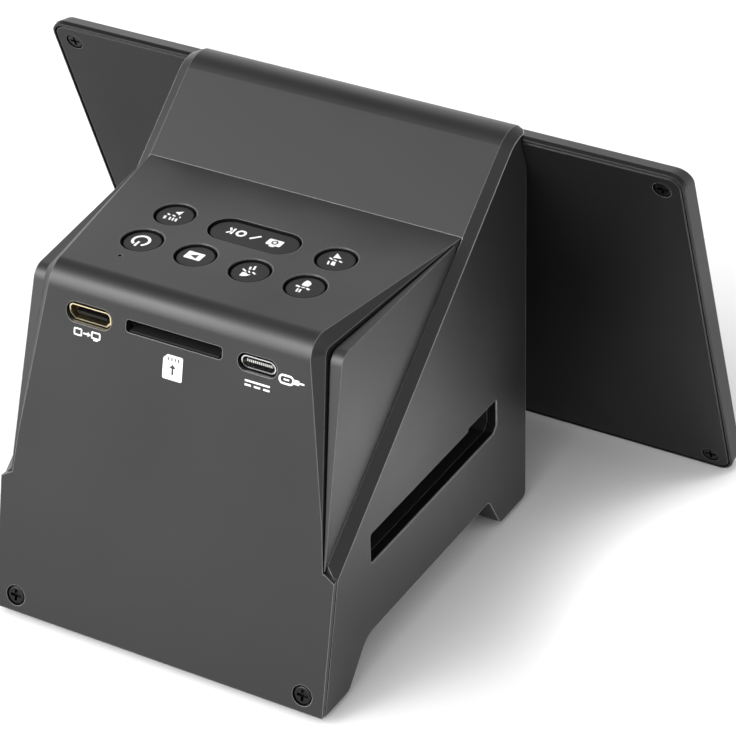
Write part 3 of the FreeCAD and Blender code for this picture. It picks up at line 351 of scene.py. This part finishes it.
# ------------------------------------------------------- print on the surfaces
class Sheet:
    """Flat drawing on a plane: mm on the plane, raised a little above it."""

    def __init__(self, origin, right, upward, height=0.03):
        self.o, self.r, self.u = Vector(origin), Vector(right), Vector(upward)
        self.n = self.r.cross(self.u).normalized()
        self.h = height
        self.polys = []

    def poly(self, pts):
        self.polys.append([pts])

    def ring(self, outer, inner):
        self.polys.append([outer, inner])

    def line(self, a, b, w):
        a, b = Vector(a), Vector(b)
        d = (b - a).normalized()
        p = Vector((-d.y, d.x)) * w / 2
        self.poly([tuple(a + p), tuple(a - p), tuple(b - p), tuple(b + p)])

    def stroke(self, pts, w, closed=False):
        """Mitred stroke through pts."""
        n = len(pts)
        pts = [Vector(p) for p in pts]
        left, rightp = [], []
        for i in range(n):
            if closed:
                a, b = pts[i - 1], pts[(i + 1) % n]
            else:
                a, b = pts[max(i - 1, 0)], pts[min(i + 1, n - 1)]
            p = pts[i]
            d1 = (p - a).normalized() if (p - a).length > 1e-9 else (b - p).normalized()
            d2 = (b - p).normalized() if (b - p).length > 1e-9 else d1
            n1, n2 = Vector((-d1.y, d1.x)), Vector((-d2.y, d2.x))
            mdir = (n1 + n2)
            if mdir.length < 1e-6:
                mdir = n1
            mdir.normalize()
            k = (w / 2) / max(0.35, mdir.dot(n1))
            left.append(tuple(p + mdir * k))
            rightp.append(tuple(p - mdir * k))
        if closed:
            area = sum(left[i - 1][0] * left[i][1] - left[i][0] * left[i - 1][1]
                       for i in range(n))
            area2 = sum(rightp[i - 1][0] * rightp[i][1] - rightp[i][0] * rightp[i - 1][1]
                        for i in range(n))
            if abs(area) > abs(area2):
                self.ring(left, rightp)
            else:
                self.ring(rightp, left)
        else:
            self.poly(left + rightp[::-1])

    def build(self, name, body, mat, slot):
        bm = bmesh.new()
        for shape in self.polys:
            rings = []
            for loop in shape:
                low = [bm.verts.new(self.o + self.r * x * MM + self.u * y * MM
                                    - self.n * 0.02 * MM) for x, y in loop]
                high = [bm.verts.new(self.o + self.r * x * MM + self.u * y * MM
                                     + self.n * self.h * MM) for x, y in loop]
                rings.append((low, high))
            for low, high in rings:
                k = len(low)
                for i in range(k):
                    j = (i + 1) % k
                    bm.faces.new((low[i], low[j], high[j], high[i]))
            if len(rings) == 1:
                bm.faces.new(rings[0][1])
                bm.faces.new(list(reversed(rings[0][0])))
            else:
                (lo1, hi1), (lo2, hi2) = rings
                k = len(hi1)
                for i in range(k):
                    j = (i + 1) % k
                    bm.faces.new((hi1[i], hi1[j], hi2[j], hi2[i]))
                    bm.faces.new((lo1[j], lo1[i], lo2[i], lo2[j]))
        bmesh.ops.recalc_face_normals(bm, faces=bm.faces[:])
        me = bpy.data.meshes.new(name)
        bm.to_mesh(me)
        bm.free()
        ob = bpy.data.objects.new(name, me)
        bpy.context.scene.collection.objects.link(ob)
        me.materials.append(mat)
        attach(ob, body)
        return ob


def arc(cx, cy, r, a0, a1, n=24):
    return [(cx + r * math.cos(math.radians(a0 + (a1 - a0) * i / (n - 1))),
             cy + r * math.sin(math.radians(a0 + (a1 - a0) * i / (n - 1))))
            for i in range(n)]


def circle(cx, cy, r, n=32):
    return [(cx + r * math.cos(2 * math.pi * i / n), cy + r * math.sin(2 * math.pi * i / n))
            for i in range(n)]


def rrect(x0, y0, x1, y1, r, n=6):
    pts = []
    for cx, cy, a in ((x1 - r, y1 - r, 0), (x0 + r, y1 - r, 90),
                      (x0 + r, y0 + r, 180), (x1 - r, y0 + r, 270)):
        pts += arc(cx, cy, r, a, a + 90, n)
    return pts


KEY_TOP = 86.7


def key_sheet(height=0.03):
    """Sheet on the key tops, drawn in the drawing frame's own x and y."""
    return Sheet(at(0, 0, KEY_TOP), (1, 0, 0), (0, 1, 0), height)


# power: open ring and bar
s = key_sheet()
s.stroke([(22.42 + x, 60.28 + y) for x, y in arc(0, 0, 1.98, 120, 422, 44)], 0.68)
s.line((22.62, 60.75), (22.62, 62.85), 0.62)
s.build("print_power", "key_power", M_PRINT, "button_plastic")
# play: plate with a dark triangle
s = key_sheet()
s.poly(rrect(5.8, 58.8, 10.15, 61.8, 0.35))
s.build("print_play", "key_play", M_PRINT, "button_plastic")
s = key_sheet(0.05)
s.poly([(7.15, 59.55), (9.0, 60.4), (7.15, 61.25)])
s.build("print_play_mark", "key_play", M_PRINT_DARK, "button_plastic")
# size: wedge over slanted marks
s = key_sheet()
s.poly([(-7.65, 61.3), (-6.95, 61.55), (-6.3, 61.05), (-5.4, 61.2), (-5.45, 62.75),
        (-6.2, 62.75), (-7.1, 62.2)])
s.line((-8.45, 60.75), (-7.5, 60.25), 0.42)
s.line((-7.0, 60.75), (-6.4, 60.15), 0.36)
s.line((-5.95, 60.65), (-4.75, 59.95), 0.42)
s.line((-7.15, 59.3), (-6.75, 57.75), 0.52)
s.line((-6.3, 59.6), (-5.9, 58.45), 0.46)
s.build("print_size", "key_size", M_PRINT, "button_plastic")
# colour: drop over a row of marks
s = key_sheet()
s.poly([(-21.75, 59.75), (-21.85, 58.5), (-21.1, 57.75), (-20.2, 57.6), (-19.95, 58.6),
        (-20.0, 59.8), (-20.9, 59.95)])
s.line((-22.65, 60.9), (-21.75, 60.55), 0.52)
s.line((-21.35, 60.6), (-20.45, 60.6), 0.3)
s.line((-20.1, 60.7), (-19.0, 60.5), 0.52)
s.line((-21.05, 62.75), (-20.85, 61.45), 0.42)
s.line((-20.35, 62.75), (-20.1, 61.45), 0.42)
s.build("print_colour", "key_colour", M_PRINT, "button_plastic")
# rotate: wedge under two rows of marks
s = key_sheet()
s.poly([(20.95, 46.6), (20.75, 44.75), (22.45, 45.75)])
for x, w in ((20.45, 0.5), (21.3, 0.4), (22.15, 0.42), (23.5, 0.62)):
    s.line((x - 0.16, 49.35), (x + 0.14, 48.15), w)
s.line((20.15, 47.6), (20.4, 47.05), 0.36)
s.line((21.45, 47.45), (22.35, 47.15), 0.36)
s.line((22.95, 47.45), (23.75, 47.1), 0.42)
s.build("print_rotate", "key_rotate", M_PRINT, "button_plastic")
# mirror: wedge under a wedge and marks
s = key_sheet()
s.poly([(-22.2, 46.05), (-20.25, 44.4), (-20.3, 46.45)])
s.poly([(-22.35, 49.45), (-21.85, 47.9), (-20.95, 47.9), (-21.25, 49.3)])
s.line((-20.65, 49.5), (-20.2, 48.1), 0.42)
s.line((-23.15, 47.4), (-22.25, 47.1), 0.42)
s.line((-21.75, 47.3), (-20.9, 47.1), 0.3)
s.line((-20.6, 47.25), (-19.65, 46.85), 0.42)
s.build("print_mirror", "key_mirror", M_PRINT, "button_plastic")
# long key: camera, stroke, OK
s = key_sheet()
s.poly(rrect(-7.15, 45.75, -3.3, 48.25, 0.35))
s.poly([(-6.1, 48.2), (-4.35, 48.2), (-4.7, 48.85), (-5.75, 48.85)])
s.line((-1.05, 46.0), (0.95, 48.0), 0.62)
s.stroke([(3.78 + 0.98 * math.cos(a), 47.0 + 1.05 * math.sin(a))
          for a in [2 * math.pi * i / 28 for i in range(28)]], 0.62, closed=True)
s.line((5.95, 45.7), (5.95, 48.2), 0.56)
s.line((6.1, 46.85), (7.15, 48.15), 0.52)
s.line((6.3, 47.15), (7.25, 45.75), 0.52)
s.build("print_ok", "key_ok", M_PRINT, "button_plastic")
s = key_sheet(0.05)
s.poly(circle(-5.22, 46.95, 0.86, 26))
s.build("print_ok_lens", "key_ok", M_PRINT_DARK, "button_plastic")
s = key_sheet(0.07)
s.poly(circle(-5.22, 46.95, 0.44, 20))
s.build("print_ok_eye", "key_ok", M_PRINT, "button_plastic")

# rear face: to the viewer's right is -x; up runs along the leaning face
LEAN = 0.22393
REAR_UP = Vector((0, -LEAN, 1)).normalized()


def rear_sheet(a, z, height=0.03):
    """Sheet on the rear face, a mm to the viewer's right of the middle, z up."""
    return Sheet(at(-a, 99.03 - LEAN * z, z), (-1, 0, 0), REAR_UP, height)


# film frame, arrow and screen under the video socket
s = rear_sheet(-23.35, 73.7)
s.stroke(rrect(-3.4, -0.75, -1.5, 0.75, 0.2), 0.36, closed=True)
s.line((-1.0, 0.0), (0.35, 0.0), 0.36)
s.poly([(0.2, -0.6), (1.0, 0.0), (0.2, 0.6)])
s.stroke(rrect(1.3, -0.5, 3.45, 0.9, 0.2), 0.36, closed=True)
s.line((1.8, -0.92), (2.95, -0.92), 0.34)
s.build("print_screen", "case", M_PRINT, "case_plastic")
# card pictogram
s = rear_sheet(-0.2, 71.9)
s.poly([(-2.6, -2.75), (-2.35, -3.0), (2.3, -3.0), (2.55, -2.75), (2.55, 2.7),
        (2.3, 2.95), (-1.35, 2.95), (-1.65, 2.8), (-2.5, 1.9), (-2.6, 1.6)])
s.build("print_card", "case", M_PRINT, "case_plastic")
s = rear_sheet(-0.2, 71.9, 0.05)
for x in (-1.15, -0.3, 0.55, 1.4):
    s.line((x, 1.5), (x, 2.35), 0.34)
s.line((0, -1.75), (0, 0.1), 0.5)
s.poly([(-0.95, -0.2), (0.95, -0.2), (0, 0.8)])
s.build("print_card_marks", "case", M_PRINT_DARK, "case_plastic")
# plug pictogram beside the USB socket
s = rear_sheet(30.2, 77.0)
s.stroke(rrect(-3.0, -0.95, 0.5, 0.95, 0.9, 8), 0.46, closed=True)
s.line((-1.95, 0.0), (-0.55, 0.0), 0.36)
s.line((0.7, 0.0), (2.0, 0.0), 1.15)
s.line((2.0, 0.0), (3.3, 0.0), 0.4)
s.build("print_plug", "case", M_PRINT, "case_plastic")
# direct current pictogram under it
s = rear_sheet(21.75, 73.7)
s.line((-3.2, 0.5), (3.2, 0.5), 0.44)
for x in (-2.4, 0.0, 2.4):
    s.line((x - 0.8, -0.5), (x + 0.8, -0.5), 0.44)
s.build("print_dc", "case", M_PRINT, "case_plastic")

# --------------------------------------------------------------- stage, light
bpy.ops.mesh.primitive_plane_add(size=60.0, location=(0, 0, -0.0001))
floor = bpy.context.active_object
floor.name = "floor"
fmat, ftree, fb = new_material("floor_white")
fb.inputs["Base Color"].default_value = (0.88, 0.88, 0.88, 1)
fb.inputs["Roughness"].default_value = 0.8
fb.inputs["Specular IOR Level"].default_value = 0.0
floor.data.materials.append(fmat)

world = bpy.data.worlds.new("studio")
bpy.context.scene.world = world
world.use_nodes = True
wn, wl = world.node_tree.nodes, world.node_tree.links
way = wn.new("ShaderNodeTexCoord").outputs["Generated"]


def glow(azimuth, elevation, sharp, strength):
    """Round soft light far away, azimuth from +y towards +x."""
    a, e = math.radians(azimuth), math.radians(elevation)
    dot = wn.new("ShaderNodeVectorMath")
    dot.operation = "DOT_PRODUCT"
    wl.new(way, dot.inputs[0])
    dot.inputs[1].default_value = (math.sin(a) * math.cos(e), math.cos(a) * math.cos(e),
                                   math.sin(e))
    ma = wn.new("ShaderNodeMath")
    ma.operation = "MULTIPLY_ADD"
    ma.inputs[1].default_value = sharp
    ma.inputs[2].default_value = -sharp
    wl.new(dot.outputs["Value"], ma.inputs[0])
    ex = wn.new("ShaderNodeMath")
    ex.operation = "EXPONENT"
    wl.new(ma.outputs[0], ex.inputs[0])
    mu = wn.new("ShaderNodeMath")
    mu.operation = "MULTIPLY"
    mu.inputs[1].default_value = strength
    wl.new(ex.outputs[0], mu.inputs[0])
    return mu.outputs[0]


def total(values):
    out = values[0]
    for v in values[1:]:
        add = wn.new("ShaderNodeMath")
        wl.new(out, add.inputs[0])
        wl.new(v, add.inputs[1])
        out = add.outputs[0]
    return out


# pale surroundings near and below the horizon, dark above, soft lights over them
height = wn.new("ShaderNodeSeparateXYZ")
wl.new(way, height.inputs[0])
low_ring = wn.new("ShaderNodeMapRange")
low_ring.interpolation_type = "SMOOTHSTEP"
low_ring.inputs["From Min"].default_value = 0.11
low_ring.inputs["From Max"].default_value = 0.2
low_ring.inputs["To Min"].default_value = 0.85
low_ring.inputs["To Max"].default_value = 0.0
wl.new(height.outputs["Z"], low_ring.inputs["Value"])
GLOWS = [(0, 10, 10, 1.5), (45, 10, 10, 3.4), (90, 10, 10, 0.5), (135, 10, 10, 1.0),
         (180, 10, 10, 0.45), (225, 10, 10, 0.3), (0, 35, 10, 1.4), (45, 35, 10, 2.2),
         (90, 35, 10, 0.4), (180, 35, 10, 0.5), (225, 35, 10, 0.3), (270, 35, 10, 1.0),
         (315, 35, 10, 0.25), (0, 62, 10, 0.25), (180, 62, 10, 0.3), (270, 62, 10, 0.2),
         (0, 90, 10, 0.45), (38, 38, 60, 8.5), (150, 33, 25, 0.9), (26, 25, 30, 4.0)]
light = total([low_ring.outputs["Result"]] + [glow(*g) for g in GLOWS])
bg = wn["Background"]
bg.inputs["Color"].default_value = (1, 1, 1, 1)
wl.new(light, bg.inputs["Strength"])



def softbox(name, place, size, spread, power):
    """Round soft light facing down, place in the drawing frame in mm."""
    data = bpy.data.lights.new(name, "AREA")
    data.shape = "DISK"
    data.size = size * MM
    data.spread = math.radians(spread)
    data.energy = power
    ob = bpy.data.objects.new(name, data)
    bpy.context.scene.collection.objects.link(ob)
    ob.location = at(*place)


softbox("floor_fill", (-125, 10, 150), 60, 40, 0.04)

scene = bpy.context.scene
scene.view_settings.view_transform = "Standard"
scene.view_settings.look = "None"
scene.view_settings.exposure = 0.0
scene.view_settings.gamma = 1.0
